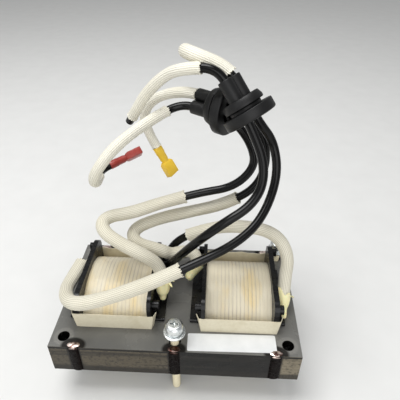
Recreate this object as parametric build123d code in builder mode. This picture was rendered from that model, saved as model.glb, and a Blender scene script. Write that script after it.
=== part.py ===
"""Chassis choke: a laminated double-E core with two taped coils and four sleeved leads."""
import os
from math import pi, radians, tan

from build123d import *

os.makedirs("parts", exist_ok=True)

# Core: flat laminations on one module, with holes at the corners and in the middle
module = 14.0
stack_height = 21.25
hole_diameter = 6.4
hole_row = 2.5 * module
gap_length = 0.8
bead_width = 5.5
bead_depth = 1.1
bead_length = 20.6

# Bobbins: two moulded flanges on a tube round each centre leg
flange_height = 63.25
flange_clearance = 0.5
flange_corner = 6.0
flange_wall = 2.2
rim_wall = 3.0
rim_reach = 1.5
bobbin_wall = 1.5
slide_clearance = 0.2
end_clearance = 0.1
ledge_reach = 6.6
outer_ledge_reach = 5.2
ledge_width = 44.6
ledge_height = 2.0
ledge_round = 0.8
stop_diameter = 5.4
stop_length = 3.6
stop_place = -19.4
stop_drop = 10.0
hook_width = 3.2
hook_height = 4.6
hook_place = 23.5
hook_sink = 3.0

# Coils: an oval winding in a closed tape wrap
coil_side_inset = 0.5
coil_top_inset = 3.9
coil_corner = 24.0
tape_thickness = 0.6
layer_clearance = 0.1

# Slot papers: sheets in the windows, folded back round the flanges above and below the core
paper_thickness = 0.4
paper_rise = 11.1
paper_slack = 0.05
fold_reach = 3.5
fold_spread = 1.2

# Label on the core
label_length = 49.4
label_width = 11.3
label_thickness = 0.15
label_place = (31.7, -34.9)

# Screws: each stands in an insulating tube that leans on the wall of its hole
tube_diameter = 4.8
tube_bore = 4.1
tube_foot = 0.4
tube_lean = 0.75
washer_height = 51.0
washer_diameter = 12.1
washer_thickness = 1.0
washer_bore = 4.3
spring_diameter = 9.6
spring_bore = 4.4
spring_height = 2.5
spring_split = 0.8
shank_diameter = 3.9
shank_length = 46.0
head_diameter = 9.8
head_height = 3.6
head_round = 1.9
recess_depth = 1.8
recess_width = 1.1
recess_span = 5.0

# Leads
wire_diameter = 5.0
lower_sleeve_diameter = 7.8
upper_sleeve_diameter = 6.6
arc_share = 0.45

# Splice caps on the coil ends of the leads
cap_mouth = 8.6
cap_waist = 5.4
cap_nipple = 2.6
cap_flare = 3.2
cap_length = 6.4
cap_shoulder = 1.0
cap_tip = 3.4
cap_edge = 1.0

# Grommets: one moulding with a grooved seat and two tubes
seat_diameter = 28.5
seat_thickness = 4.0
groove_diameter = 18.0
groove_width = 2.0
lip_diameter = 22.2
lip_front_diameter = 20.0
lip_thickness = 4.7
hollow_diameter = 15.0
hollow_depth = 5.2
spout_diameter = 7.5
spout_end = 20.5
spout_pitch = 7.8
spout_bore = 5.4
grommet_edge = 0.6

# Push-on terminals
barrel_diameter = 6.6
barrel_length = 13.0
barrel_overlap = 1.0
housing_length = 10.0
housing_width = 10.6
housing_height = 5.6
housing_round = 1.2
mouth_width = 7.4
mouth_height = 2.2
mouth_depth = 8.0
blade_wall = 0.4
blade_length = 7.0

# Places that follow from the sizes above
core_length = 10 * module
core_width = 6 * module
window_end = 4 * module
window_side = 2 * module
flange_width = 2 * (window_side - flange_clearance)
coil_width = flange_width - 2 * coil_side_inset
coil_height = flange_height - 2 * coil_top_inset
core_middle = flange_height / 2
core_bottom = core_middle - stack_height / 2
core_top = core_middle + stack_height / 2
bar_middle = window_end + module / 2
inner_face = module + end_clearance
outer_face = window_end - end_clearance
rim_face = window_end + rim_reach
rim_start = rim_face - rim_wall
coil_start = inner_face + flange_wall + layer_clearance
coil_length = rim_start - layer_clearance - coil_start
bore_width = 2 * (module + slide_clearance)
bore_height = stack_height + 2 * slide_clearance
tube_width = bore_width + 2 * bobbin_wall
tube_height = bore_height + 2 * bobbin_wall
sides = (("left", -1), ("right", 1))

with BuildPart() as double_e:
    with BuildSketch(Plane.XY.offset(core_bottom)):
        Rectangle(2 * window_end, core_width)
        with GridLocations(module + window_end, window_side + module, 2, 2):
            Rectangle(window_end - module, module, mode=Mode.SUBTRACT)
        with GridLocations(2 * window_end - gap_length, 0, 2, 1):
            Rectangle(gap_length, 2 * module, mode=Mode.SUBTRACT)
        with GridLocations(0, 2 * hole_row, 1, 2):
            Circle(hole_diameter / 2, mode=Mode.SUBTRACT)
    extrude(amount=stack_height)
double_e.part.label = "core_double_e"
export_step(double_e.part, "parts/core_double_e.step")

for side, sign in sides:
    with BuildPart() as i_bar:
        with BuildSketch(Plane.XY.offset(core_bottom)):
            with Locations((sign * bar_middle, 0)):
                Rectangle(module, core_width)
            with GridLocations(0, 2 * hole_row, 1, 2):
                with Locations((sign * bar_middle, 0)):
                    Circle(hole_diameter / 2, mode=Mode.SUBTRACT)
        extrude(amount=stack_height)
    i_bar.part.label = f"core_i_bar_{side}"
    export_step(i_bar.part, f"parts/core_i_bar_{side}.step")

    # The spacer fills the magnetic gap between the centre leg and the bar
    with BuildPart() as spacer:
        with BuildSketch(Plane.XY.offset(core_bottom)):
            with Locations((sign * (window_end - gap_length / 2), 0)):
                Rectangle(gap_length, 2 * module)
        extrude(amount=stack_height)
    spacer.part.label = f"gap_spacer_{side}"
    export_step(spacer.part, f"parts/gap_spacer_{side}.step")

# Six weld beads run down the front and back faces, over the seams and the middle
with BuildPart() as beads:
    with BuildSketch(Plane.XY.offset(core_bottom)):
        with GridLocations(window_end, core_width, 3, 2):
            Ellipse(bead_width / 2, bead_depth)
        Rectangle(core_length, core_width, mode=Mode.SUBTRACT)
    extrude(amount=bead_length)
beads.part.label = "weld_beads"
export_step(beads.part, "parts/weld_beads.step")

with BuildPart() as bobbin_right:
    with BuildSketch(Plane.YZ.offset(inner_face)):
        with Locations((0, core_middle)):
            RectangleRounded(flange_width, flange_height, flange_corner)
    extrude(amount=flange_wall)
    with BuildSketch(Plane.YZ.offset(rim_start)):
        with Locations((0, core_middle)):
            RectangleRounded(flange_width, flange_height, flange_corner)
    extrude(amount=outer_face - rim_start)
    with BuildSketch(Plane.YZ.offset(rim_start)):
        with Locations((0, core_middle)):
            RectangleRounded(flange_width, flange_height, flange_corner)
            Rectangle(flange_width, stack_height, mode=Mode.SUBTRACT)
    extrude(amount=rim_wall)
    with BuildSketch(Plane.YZ.offset(inner_face)):
        with Locations((0, core_middle)):
            Rectangle(tube_width, tube_height)
    extrude(amount=outer_face - inner_face)
    # Ledges rest on the core above and below it, on both flanges
    for start, reach in ((inner_face - ledge_reach, ledge_reach), (rim_face, outer_ledge_reach)):
        with BuildSketch(Plane.YZ.offset(start)):
            with Locations((0, core_top + ledge_height / 2), (0, core_bottom - ledge_height / 2)):
                RectangleRounded(ledge_width, ledge_height, ledge_round)
        extrude(amount=reach)
    # A round stop stands on each flange near its front edge
    for start in (inner_face - stop_length, rim_face):
        with BuildSketch(Plane.YZ.offset(start)):
            with Locations((stop_place, flange_height - stop_drop)):
                Circle(stop_diameter / 2)
        extrude(amount=stop_length)
    # A hook stands on the outer side of each flange near its back corner
    for start in (inner_face - hook_width, rim_face):
        with BuildSketch(Plane.YZ.offset(start)):
            with Locations((hook_place, flange_height - hook_sink - hook_height / 2)):
                RectangleRounded(hook_width, hook_height, ledge_round)
        extrude(amount=hook_width)
    with BuildSketch(Plane.YZ.offset(inner_face)):
        with Locations((0, core_middle)):
            Rectangle(bore_width, bore_height)
    extrude(amount=outer_face - inner_face, mode=Mode.SUBTRACT)
bobbin_right.part.label = "bobbin_right"
export_step(bobbin_right.part, "parts/bobbin_right.step")

with BuildPart() as bobbin_left:
    mirror(bobbin_right.part, about=Plane.YZ)
bobbin_left.part.label = "bobbin_left"
export_step(bobbin_left.part, "parts/bobbin_left.step")

for side, sign in sides:
    coil_plane = Plane.YZ.offset(sign * (coil_start + coil_length / 2))
    with BuildPart() as tape:
        with BuildSketch(coil_plane):
            with Locations((0, core_middle)):
                RectangleRounded(coil_width, coil_height, coil_corner)
                RectangleRounded(
                    coil_width - 2 * tape_thickness,
                    coil_height - 2 * tape_thickness,
                    coil_corner - tape_thickness,
                    mode=Mode.SUBTRACT,
                )
        extrude(amount=coil_length / 2, both=True)
    tape.part.label = f"tape_wrap_{side}"
    export_step(tape.part, f"parts/tape_wrap_{side}.step")

    inset = tape_thickness + layer_clearance
    with BuildPart() as winding:
        with BuildSketch(coil_plane):
            with Locations((0, core_middle)):
                RectangleRounded(coil_width - 2 * inset, coil_height - 2 * inset, coil_corner - inset)
                Rectangle(
                    tube_width + 2 * layer_clearance,
                    tube_height + 2 * layer_clearance,
                    mode=Mode.SUBTRACT,
                )
        extrude(amount=coil_length / 2, both=True)
    winding.part.label = f"winding_{side}"
    export_step(winding.part, f"parts/winding_{side}.step")

# A slot paper lines the outer wall of each window and wraps round both flanges outside the core
paper_line = window_side - paper_slack - paper_thickness / 2
fold_inner = inner_face - paper_thickness
fold_outer = rim_face + paper_thickness
for side, sign in sides:
    for row, front in (("front", -1), ("rear", 1)):
        with BuildPart() as paper:
            with BuildSketch(Plane.XY.offset(core_bottom - paper_rise)):
                with Locations((sign * (inner_face + outer_face) / 2, front * paper_line)):
                    Rectangle(outer_face - inner_face, paper_thickness)
            extrude(amount=stack_height + 2 * paper_rise)
            for level in (core_bottom - paper_rise, core_top + end_clearance):
                with BuildSketch(Plane.XY.offset(level)):
                    with BuildLine():
                        Polyline(
                            (sign * (fold_inner - fold_spread), front * (paper_line - fold_reach)),
                            (sign * fold_inner, front * paper_line),
                            (sign * fold_outer, front * paper_line),
                            (sign * (fold_outer + fold_spread), front * (paper_line - fold_reach)),
                        )
                    trace(line_width=paper_thickness)
                extrude(amount=paper_rise - end_clearance)
        paper.part.label = f"slot_paper_{row}_{side}"
        export_step(paper.part, f"parts/slot_paper_{row}_{side}.step")

with BuildPart() as label:
    with BuildSketch(Plane.XY.offset(core_top)):
        with Locations(label_place):
            Rectangle(label_length, label_width)
    extrude(amount=label_thickness)
label.part.label = "label"
export_step(label.part, "parts/label.step")

# Two sets of screw, spring washer, flat washer and insulating tube
head_base = washer_height + washer_thickness + spring_height
screw_places = (("front", 0, -hole_row - tube_lean), ("rear", bar_middle, hole_row - tube_lean))
for place, x, y in screw_places:
    with BuildPart() as tube:
        with BuildSketch(Plane.XY.offset(tube_foot)):
            with Locations((x, y)):
                Circle(tube_diameter / 2)
                Circle(tube_bore / 2, mode=Mode.SUBTRACT)
        extrude(amount=washer_height - tube_foot)
    tube.part.label = f"insulating_tube_{place}"
    export_step(tube.part, f"parts/insulating_tube_{place}.step")

    with BuildPart() as washer:
        with BuildSketch(Plane.XY.offset(washer_height)):
            with Locations((x, y)):
                Circle(washer_diameter / 2)
                Circle(washer_bore / 2, mode=Mode.SUBTRACT)
        extrude(amount=washer_thickness)
    washer.part.label = f"flat_washer_{place}"
    export_step(washer.part, f"parts/flat_washer_{place}.step")

    with BuildPart() as spring_washer:
        with BuildSketch(Plane.XY.offset(washer_height + washer_thickness)):
            with Locations((x, y)):
                Circle(spring_diameter / 2)
                Circle(spring_bore / 2, mode=Mode.SUBTRACT)
            with Locations((x - spring_diameter / 2, y)):
                Rectangle(spring_diameter, spring_split, mode=Mode.SUBTRACT)
        extrude(amount=spring_height)
    spring_washer.part.label = f"spring_washer_{place}"
    export_step(spring_washer.part, f"parts/spring_washer_{place}.step")

    with BuildPart() as screw:
        with BuildSketch(Plane.XY.offset(head_base - shank_length)):
            with Locations((x, y)):
                Circle(shank_diameter / 2)
        extrude(amount=shank_length)
        with BuildSketch(Plane.XY.offset(head_base)):
            with Locations((x, y)):
                Circle(head_diameter / 2)
        extrude(amount=head_height)
        fillet(screw.edges().group_by(Axis.Z)[-1], radius=head_round)
        with BuildSketch(Plane.XY.offset(head_base + head_height)):
            with Locations((x, y)):
                Rectangle(recess_span, recess_width)
                Rectangle(recess_width, recess_span)
        extrude(amount=-recess_depth, mode=Mode.SUBTRACT)
    screw.part.label = f"screw_{place}"
    export_step(screw.part, f"parts/screw_{place}.step")

# The leads and grommets stand above the middle of the coils, level with the flanges' tops
lead_base = Vector(0, 0, flange_height)

# Grommets: each stands on its own plane above that base, with its tubes side by side along x
grommet_planes = {
    "upper": Plane((35.8, 25.5, 89.75), x_dir=(0.537, 0.844, 0.022), z_dir=(-0.54, 0.323, 0.777)),
    "lower": Plane((24.1, 42.2, 84.35), x_dir=(0.384, 0.585, 0.714), z_dir=(-0.846, 0.533, 0.018)),
}
seat_back = seat_thickness / 2
lip_start = seat_back + groove_width
for place, local in grommet_planes.items():
    plane = Plane(local.origin + lead_base, x_dir=local.x_dir, z_dir=local.z_dir)
    with BuildPart() as grommet:
        with BuildSketch(plane.offset(-seat_back)):
            Circle(seat_diameter / 2)
        extrude(amount=seat_thickness)
        fillet(grommet.edges(), radius=grommet_edge)
        with BuildSketch(plane):
            Circle(groove_diameter / 2)
        extrude(amount=lip_start)
        with BuildSketch(plane.offset(lip_start)):
            Circle(lip_diameter / 2)
        with BuildSketch(plane.offset(lip_start + lip_thickness)):
            Circle(lip_front_diameter / 2)
        loft()
        with BuildSketch(plane.offset(lip_start)):
            with GridLocations(spout_pitch, 0, 2, 1):
                Circle(spout_diameter / 2)
        extrude(amount=spout_end - lip_start)
        with BuildSketch(plane.offset(-seat_back)):
            Circle(hollow_diameter / 2)
        extrude(amount=hollow_depth, mode=Mode.SUBTRACT)
        with BuildSketch(plane):
            with GridLocations(spout_pitch, 0, 2, 1):
                Circle(spout_bore / 2)
        extrude(amount=spout_end, mode=Mode.SUBTRACT)
    grommet.part.label = f"grommet_{place}"
    export_step(grommet.part, f"parts/grommet_{place}.step")


def spout_point(place, bore, reach):
    """The point on the axis of a grommet's bore, reach along it from the seat, above the base."""
    return grommet_planes[place].from_local_coords(Vector(bore * spout_pitch / 2, 0, reach))


# Routes of the leads, from the coil to the free end, with heights above the flanges;
# the two points in a grommet lie on its bore
routes = {
    "left_outer": [
        (-62.2, 11.2, -8.45), (-64.6, -2.5, -8.05), (-67, -20.5, -3.25), (-54, -35, 4.25),
        (-36, -33.5, 8.75), (-14, -28.5, 15.25), (12, -18, 22.75), (32, -7.5, 28.25), (46.5, 5, 36.25),
        (55, 22, 53.25), (52, 31.5, 70.25), spout_point("upper", 1, -6), spout_point("upper", 1, 28.3),
        (7, 39.5, 116.75), (3, 53.5, 115.25), (5, 70, 108.75), (2.5, 84, 101.25),
    ],
    "left_inner": [
        (-9.6, -6, -5.75), (-10.5, -2.5, 4.75), (-20, -4.5, 14.75), (-31.5, -3, 20.25),
        (-44, 1.5, 26.75), (-44.5, 11, 29.25), (-29, 18, 27.75), (-12, 26, 30.25), (11, 32, 34.25),
        (31, 31.5, 39.25), (43, 33.5, 52.75), (40, 36, 66.25), spout_point("lower", -1, -7),
        spout_point("lower", -1, 29), (-18, 42.5, 77.25), (-35.5, 22, 70.75), (-48, 16.5, 55.25),
        (-52.2, 26, 42.75), (-54, 38, 36.25), (-54.8, 48.8, 37.75), (-49.1, 52.6, 39.25),
    ],
    "right_inner": [
        (9.3, 11, -7.75), (10, 12.7, -2.55), (6.6, 14.2, 2.35), (-0.5, 13, 2.15), (-6, 11.4, 1.15),
        (-12.5, 9, 6.75), (-28, 9, 11.75), (-30, 18, 15.25), (-16, 25.5, 17.75), (4, 30.5, 20.25),
        (24.5, 34, 24.25), (44, 34.5, 35.75), (50.5, 38, 52.75), (46.5, 40.5, 71.75),
        spout_point("lower", 1, -7), spout_point("lower", 1, 31), (-18.5, 70.5, 80.25),
        (-28, 75, 69.25), (-28.5, 75.5, 56.25), (-21, 73.5, 42.75),
    ],
    "right_outer": [
        (62, -9.5, -11.25), (63, -1, -4.75), (65, 6, 9.25), (55.5, 14.5, 20.25), (31, 14.5, 23.75),
        (16, 16.5, 18.25), (-1.3, 20.6, 7), (-9.5, 19.6, -4.75), (-9.2, 5.3, -5.15), (3.9, -5, 19.45),
        (21, -12, 42.75), (41.5, -2, 52.25), (46, 9.5, 66.75), spout_point("upper", -1, -6),
        spout_point("upper", -1, 28), (2, 33.5, 109.75), (-9, 42.5, 103.75), (-22, 48.5, 89.75),
        (-29.5, 51.8, 76.75), (-34, 55.5, 69.45),
    ],
}

# Where each piece of a lead ends: the run of the route and the share of that run
cuts = {
    "left_outer": {"lower_sleeve": (5, 0.6), "upper_sleeve": (11, 0.78), "stub": (15, 0.6)},
    "left_inner": {"lower_sleeve": (7, 0.6), "upper_sleeve": (13, 0.48), "stub": (18, 0.5)},
    "right_inner": {"lower_sleeve": (10, 0.5), "upper_sleeve": (14, 0.735), "stub": None},
    "right_outer": {"lower_sleeve": (5, 0.68), "upper_sleeve": (14, 0.47), "stub": (18, 0.47)},
}


def corner_radii(points):
    """The largest arc at each inner point that leaves a tenth of the shorter run straight."""
    radii = []
    for before, corner, after in zip(points, points[1:], points[2:]):
        arrive = corner - before
        leave = after - corner
        half_turn = radians(arrive.get_angle(leave)) / 2
        radii.append(arc_share * min(arrive.length, leave.length) / tan(half_turn))
    return radii


def stretch(points, radii, start, end):
    """The points and radii of the route between two cuts; None stands for the route's own end."""
    first, last = 0, len(points) - 1
    head, tail = points[0], points[-1]
    if start:
        first = start[0]
        head = points[first] + (points[first + 1] - points[first]) * start[1]
    if end:
        last = end[0] + 1
        tail = points[end[0]] + (points[last] - points[end[0]]) * end[1]
    return [head, *points[first + 1:last], tail], radii[first:last - 1]


for lead, places in routes.items():
    points = [lead_base + Vector(place) for place in places]
    radii = corner_radii(points)
    print(lead, "radii", [round(radius, 1) for radius in radii])
    cut = cuts[lead]
    pieces = {
        f"lower_sleeve_{lead}": (lower_sleeve_diameter, [(None, cut["lower_sleeve"])]),
        f"lead_wire_{lead}": (wire_diameter, [(cut["lower_sleeve"], cut["upper_sleeve"])]),
        f"upper_sleeve_{lead}": (upper_sleeve_diameter, [(cut["upper_sleeve"], cut["stub"])]),
    }
    if cut["stub"]:
        pieces[f"lead_wire_{lead}"][1].append((cut["stub"], None))
    for name, (diameter, spans) in pieces.items():
        length = 0
        with BuildPart() as piece:
            for start, end in spans:
                span_points, span_radii = stretch(points, radii, start, end)
                with BuildLine() as path:
                    if span_radii:
                        FilletPolyline(*span_points, radius=span_radii)
                    else:
                        Line(*span_points)
                route = path.wire()
                length += route.length
                with BuildSketch(Plane(route @ 0, z_dir=route % 0)):
                    Circle(diameter / 2)
                sweep(path=route)
        section = pi * diameter ** 2 / 4
        share = piece.part.volume / section / length
        print(name, "length", round(length, 1), "volume share", round(share, 4))
        piece.part.label = name
        export_step(piece.part, f"parts/{name}.step")

# Splice caps close the coil ends of three leads
for lead in ("left_inner", "right_inner", "right_outer"):
    mouth = lead_base + Vector(routes[lead][0])
    cap_plane = Plane(mouth, z_dir=Vector(routes[lead][0]) - Vector(routes[lead][1]))
    with BuildPart() as cap:
        with BuildSketch(Plane.XZ):
            with BuildLine():
                Polyline((0, 0), (cap_mouth / 2, 0), (cap_waist / 2, cap_flare), (cap_waist / 2, cap_length))
                Line((cap_waist / 2, cap_length), (cap_nipple / 2, cap_length + cap_shoulder))
                Line((cap_nipple / 2, cap_length + cap_shoulder), (cap_nipple / 2, cap_length + cap_tip))
                Line((cap_nipple / 2, cap_length + cap_tip), (0, cap_length + cap_tip))
                Line((0, cap_length + cap_tip), (0, 0))
            make_face()
        revolve(axis=Axis.Z)
        fillet(cap.edges().group_by(Axis.Z)[-1], radius=cap_edge)
    placed = cap_plane.location * cap.part
    placed.label = f"splice_cap_{lead}"
    export_step(placed, f"parts/splice_cap_{lead}.step")

# Push-on terminals on the free ends of two leads, in line with the last run; each has its own turn
for lead, across in (("left_inner", (0, 0.81, -0.58)), ("right_inner", (0.62, 0.78, 0))):
    end = lead_base + Vector(routes[lead][-1])
    along = Vector(routes[lead][-1]) - Vector(routes[lead][-2])
    terminal_plane = Plane(end, x_dir=across, z_dir=along)
    shell_end = barrel_length + housing_length
    with BuildPart() as housing:
        with BuildSketch(terminal_plane):
            Circle(barrel_diameter / 2)
        extrude(amount=barrel_length + barrel_overlap)
        with BuildSketch(terminal_plane.offset(barrel_length)):
            RectangleRounded(housing_width, housing_height, housing_round)
        extrude(amount=housing_length)
        with BuildSketch(terminal_plane.offset(shell_end)):
            Rectangle(mouth_width, mouth_height)
        extrude(amount=-mouth_depth, mode=Mode.SUBTRACT)
    housing.part.label = f"terminal_housing_{lead}"
    export_step(housing.part, f"parts/terminal_housing_{lead}.step")

    with BuildPart() as receptacle:
        with BuildSketch(terminal_plane.offset(shell_end - mouth_depth)):
            Rectangle(mouth_width - layer_clearance, mouth_height - layer_clearance)
            Rectangle(mouth_width - 2 * blade_wall, mouth_height - 2 * blade_wall, mode=Mode.SUBTRACT)
        extrude(amount=blade_length)
    receptacle.part.label = f"terminal_receptacle_{lead}"
    export_step(receptacle.part, f"parts/terminal_receptacle_{lead}.step")
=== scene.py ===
import math
import random

import bpy
from mathutils import Matrix, Vector


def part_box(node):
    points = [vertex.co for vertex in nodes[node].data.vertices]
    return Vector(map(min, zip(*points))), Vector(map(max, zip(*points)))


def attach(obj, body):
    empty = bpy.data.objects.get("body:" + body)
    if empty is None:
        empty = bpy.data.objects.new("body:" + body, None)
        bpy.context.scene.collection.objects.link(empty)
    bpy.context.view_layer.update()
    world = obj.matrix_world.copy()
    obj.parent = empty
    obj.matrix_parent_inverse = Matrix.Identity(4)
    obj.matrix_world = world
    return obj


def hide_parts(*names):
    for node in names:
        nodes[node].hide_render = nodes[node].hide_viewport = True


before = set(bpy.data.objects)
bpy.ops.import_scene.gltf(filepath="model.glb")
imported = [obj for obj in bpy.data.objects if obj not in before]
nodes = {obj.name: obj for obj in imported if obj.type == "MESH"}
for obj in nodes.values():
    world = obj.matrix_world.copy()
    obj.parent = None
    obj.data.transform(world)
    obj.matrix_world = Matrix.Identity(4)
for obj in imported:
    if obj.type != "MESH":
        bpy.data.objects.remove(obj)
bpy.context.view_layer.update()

# Core
# The core is a stack of silicon steel laminations, a double E between two I bars.
# They were punched, stacked, welded and dipped in clear varnish, which leaves the top
# glossy and the stacked edges lined.


def linear(code):
    """The linear colour of an sRGB hex code."""
    channels = [int(code[i:i + 2], 16) / 255 for i in (1, 3, 5)]
    return [c / 12.92 if c <= 0.04045 else ((c + 0.055) / 1.055) ** 2.4 for c in channels] + [1.0]


def feed(node, inputs):
    """Gives each input of a node a value, a hex code's colour, or a link to a socket."""
    for place, value in inputs.items():
        if isinstance(value, bpy.types.NodeSocket):
            node.id_data.links.new(value, node.inputs[place])
        else:
            node.inputs[place].default_value = linear(value) if isinstance(value, str) else value


def add_node(tree, kind, inputs, out=0, **settings):
    """Adds a node with its settings, values and links, and gives back its output or outputs."""
    node = tree.nodes.new("ShaderNode" + kind)
    for name, value in settings.items():
        setattr(node, name, value)
    feed(node, inputs)
    return node.outputs[out]


def new_material(name):
    """A node material: itself, its tree, its shader and its object coordinates."""
    material = bpy.data.materials.new(name)
    material.use_nodes = True
    tree = material.node_tree
    return material, tree, tree.nodes["Principled BSDF"], add_node(tree, "TexCoord", {}, "Object")


def lines_apart(pitch):
    """The scale at which a wave texture draws one line to a pitch in metres."""
    return 2 * math.pi / 20 / pitch


def dress(material, *names):
    """Gives carried-over CAD nodes their material."""
    for name in names:
        nodes[name].data.materials.clear()
        nodes[name].data.materials.append(material)


core_low, core_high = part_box("core_i_bar_left")
core_bottom, core_top = core_low.z, core_high.z
weld_x, weld_y = 0.056, 0.0405
hole_x, hole_y = 0.063, 0.035
hole_radius = 0.0033
bolt_ring = 0.0052
# Two laminations of 0.53 mm to a line, because single ones are too fine to show
line_pitch = 0.00106
# Height of the band of painted shade along the bottom of the edges
bottom_shade_height = 0.0036
top_sheet = 0.0011

# Clear varnish over cold-rolled steel: the eye sees a grey, softly mirrored top and dark, lined edges that
# are browner at the ends of the bars;
# painted light from the left makes the edges browner on that side, and painted shade darkens the left bar's
# end
steel, tree, shader, place = new_material("varnished_silicon_steel")
x, y, z = add_node(tree, "SeparateXYZ", {0: place}, slice(3))
normal_z = add_node(tree, "SeparateXYZ", {0: add_node(tree, "TexCoord", {}, "Normal")}, 2)
upright = add_node(tree, "Math", {0: normal_z}, operation="ABSOLUTE")
flat = add_node(tree, "MapRange", {0: upright, 1: 0.4, 2: 0.6})
cloud = add_node(tree, "TexNoise", {"Vector": place, "Scale": 55.0, "Detail": 4.0})
speck = add_node(tree, "TexNoise", {"Vector": place, "Scale": 750.0, "Detail": 5.0})
top = add_node(tree, "Mix", {0: cloud, 6: "#646461", 7: "#7d7c78"}, 2, data_type="RGBA")
abs_x = add_node(tree, "Math", {0: x}, operation="ABSOLUTE")
abs_y = add_node(tree, "Math", {0: y}, operation="ABSOLUTE")
# How far a point lies across from the nearest hole or weld, in the middle or at a side
across = {}
for mark, side in (("hole", hole_x), ("weld", weld_x)):
    off = add_node(tree, "Math", {0: abs_x, 1: side}, operation="SUBTRACT")
    off = add_node(tree, "Math", {0: off}, operation="ABSOLUTE")
    across[mark] = add_node(tree, "Math", {0: abs_x, 1: off}, operation="MINIMUM")
# A burnished ring round each hole, where the bolt heads and the punch bore on it, and near-black
# painted shade on the wall inside the hole
hole_along = add_node(tree, "Math", {0: abs_y, 1: hole_y}, operation="SUBTRACT")
hole_way = add_node(tree, "CombineXYZ", {0: across["hole"], 1: hole_along})
hole_reach = add_node(tree, "VectorMath", {0: hole_way}, "Value", operation="LENGTH")
ring = add_node(tree, "MapRange", {0: hole_reach, 1: bolt_ring + 0.0008, 2: bolt_ring, 4: 0.4})
hole_wall_shade = add_node(tree, "MapRange", {0: hole_reach, 1: hole_radius + 0.0001, 2: hole_radius})
top = add_node(tree, "Mix", {0: ring, 6: top, 7: "#8f8d88"}, 2, data_type="RGBA")
# The edges: lines and layers, painted shade along the bottom, specks, and the gap under the top sheets
lines = add_node(
    tree, "TexWave",
    {"Vector": place, "Scale": lines_apart(line_pitch), "Distortion": 0.4, "Detail": 1.0,
     "Detail Scale": 2.0},
    1, bands_direction="Z",
)
# Painted light: the edges are browner on the left, where the light from the left falls, and near black on the
# right
left = add_node(tree, "MapRange", {0: x, 1: 0.004, 2: -0.004})
edge = add_node(tree, "Mix", {0: left, 6: "#050505", 7: "#5c5445"}, 2, data_type="RGBA")
# The ends of the bars are speckled beige; the left end is painted darker, as painted shade
bar_end = add_node(tree, "MapRange", {0: abs_x, 1: 0.0575, 2: 0.0595})
ends = add_node(tree, "Mix", {0: left, 6: "#8a806c", 7: "#544d40"}, 2, data_type="RGBA")
layers = add_node(tree, "Mapping", {"Vector": place, "Scale": (0.03, 0.03, 1.0)})
layer = add_node(tree, "TexNoise", {"Vector": layers, "Scale": 420.0, "Detail": 2.0})
dark_layer = add_node(tree, "MapRange", {0: layer, 1: 0.5, 2: 0.68, 4: 0.75})
# Painted shade: the edges grow darker over their lowest few millimetres
bottom_shade_top = core_bottom + bottom_shade_height
bottom_shade = add_node(tree, "MapRange", {0: z, 1: bottom_shade_top + 0.0022, 2: bottom_shade_top, 4: 0.85})
lined = add_node(tree, "Math", {0: lines, 1: 0.35}, operation="MULTIPLY")
specks = add_node(tree, "MapRange", {0: speck, 1: 0.5, 2: 0.66, 4: 0.65})
gap_low = add_node(tree, "Math", {0: z, 1: core_top - top_sheet}, operation="SUBTRACT")
gap_line = add_node(tree, "Math", {0: gap_low}, operation="ABSOLUTE")
gap = add_node(tree, "MapRange", {0: gap_line, 1: 0.0009, 2: 0.0005})
for share, colour in (
    (bar_end, ends), (dark_layer, "#2b2823"), (bottom_shade, "#1f1c18"), (lined, "#1b1917"),
    (specks, "#1f1d1b"), (gap, "#100f0e"),
):
    edge = add_node(tree, "Mix", {0: share, 6: edge, 7: colour}, 2, data_type="RGBA")
# Heat from the welds: a dark brown ring on the top and a narrower stripe down each seam
weld_along = add_node(tree, "Math", {0: abs_y, 1: weld_y}, operation="SUBTRACT")
weld_deep = add_node(tree, "Math", {0: weld_along, 1: 1.4}, operation="MULTIPLY")
narrow = add_node(tree, "MapRange", {0: flat, 3: 1.75, 4: 1.0})
weld_side = add_node(tree, "Math", {0: across["weld"], 1: narrow}, operation="MULTIPLY")
weld_way = add_node(tree, "CombineXYZ", {0: weld_side, 1: weld_deep})
weld_reach = add_node(tree, "VectorMath", {0: weld_way}, "Value", operation="LENGTH")
burn = add_node(tree, "MapRange", {0: weld_reach, 1: 0.0076, 2: 0.0060, 4: 0.9})
surface = edge
# Laid over in turn: the top, painted shade on the hole walls, and the burn from the welds
for share, colour in ((flat, top), (hole_wall_shade, "#0d0b09"), (burn, "#0c0705")):
    surface = add_node(tree, "Mix", {0: share, 6: surface, 7: colour}, 2, data_type="RGBA")
shine = add_node(tree, "MapRange", {0: cloud, 1: 0.3, 2: 0.7, 3: 0.2, 4: 0.32})
steep = add_node(tree, "Math", {0: 1.0, 1: flat}, operation="SUBTRACT")
grooves = add_node(tree, "Math", {0: lines, 1: steep}, operation="MULTIPLY")
relief = add_node(tree, "Math", {0: grooves, 1: speck}, operation="ADD")
bump = add_node(tree, "Bump", {"Height": relief, "Strength": 0.35, "Distance": 0.0001})
feed(shader, {
    "Base Color": surface, "Metallic": 0.2, "Roughness": shine, "Specular IOR Level": 0.2, "Normal": bump,
})
dress(steel, "core_double_e", "core_i_bar_left", "core_i_bar_right")

# Weld beads
# Six weld beads run down the front and back faces over the seams and the middle.
# Each is a row of overlapped puddles of molten steel, with a bright one on the top edge.


def activate(piece):
    """Makes a piece the only one selected, and the active one."""
    bpy.ops.object.select_all(action="DESELECT")
    piece.select_set(True)
    bpy.context.view_layer.objects.active = piece


def modify(piece, kind, **settings):
    """Adds a modifier to the active piece, sets it and applies it."""
    bpy.ops.object.modifier_add(type=kind)
    modifier = piece.modifiers[-1]
    for name, value in settings.items():
        setattr(modifier, name, value)
    bpy.ops.object.modifier_apply(modifier=modifier.name)


def edit_all():
    """Goes into edit mode with the whole of the active piece selected."""
    bpy.ops.object.mode_set(mode="EDIT")
    bpy.ops.mesh.select_all(action="SELECT")


def leave():
    """Goes back to object mode."""
    bpy.ops.object.mode_set(mode="OBJECT")


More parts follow.
